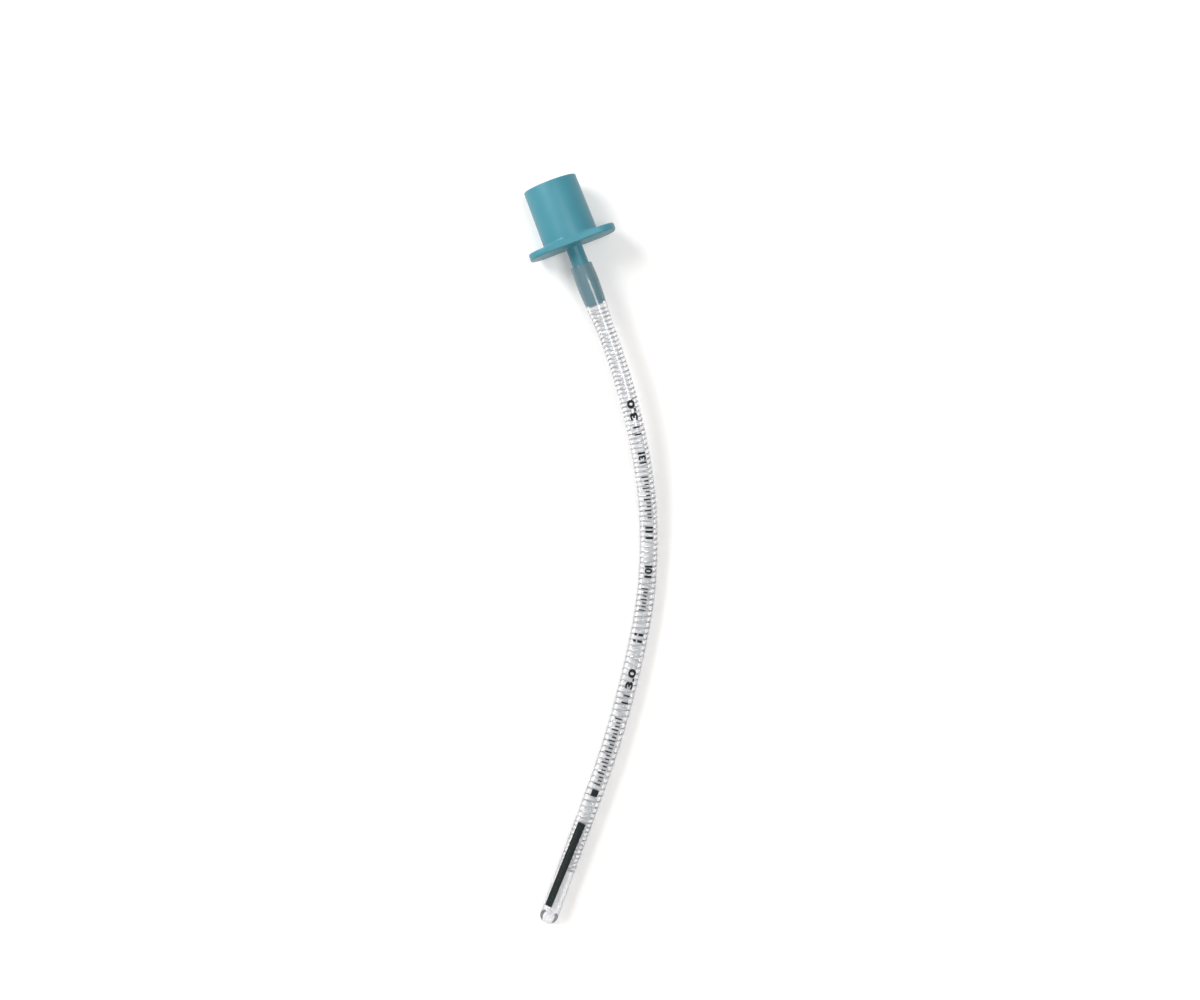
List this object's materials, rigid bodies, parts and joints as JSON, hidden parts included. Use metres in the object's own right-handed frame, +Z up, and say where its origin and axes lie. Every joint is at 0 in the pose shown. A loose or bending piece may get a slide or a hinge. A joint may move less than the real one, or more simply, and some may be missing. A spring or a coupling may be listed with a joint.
{
  "type": "wire-reinforced endotracheal tube",
  "caption": "Uncuffed wire-reinforced airway tube: clear curved tube with a bevelled tip, embedded steel coil and a blue-green 15 mm connector.",
  "frame": {"origin": "middle of the flat foot of the connector's flange, on the surface that the part lies on", "axes": "+Z up; +Y along the connector, from the tube towards the open mouth of its cone; the tube bends towards -X"},
  "size_m": [0.088, 0.1919, 0.016],
  "materials": {
    "connector": "semi-gloss moulded polypropylene, blue-green",
    "tube": "clear soft PVC, glossy",
    "reinforcing_wire": "bright drawn stainless wire"
  },
  "bodies": {
    "root": {"connector": "connector", "tube": "tube", "reinforcing_wire": "reinforcing_wire"}
  },
  "joints": []
}
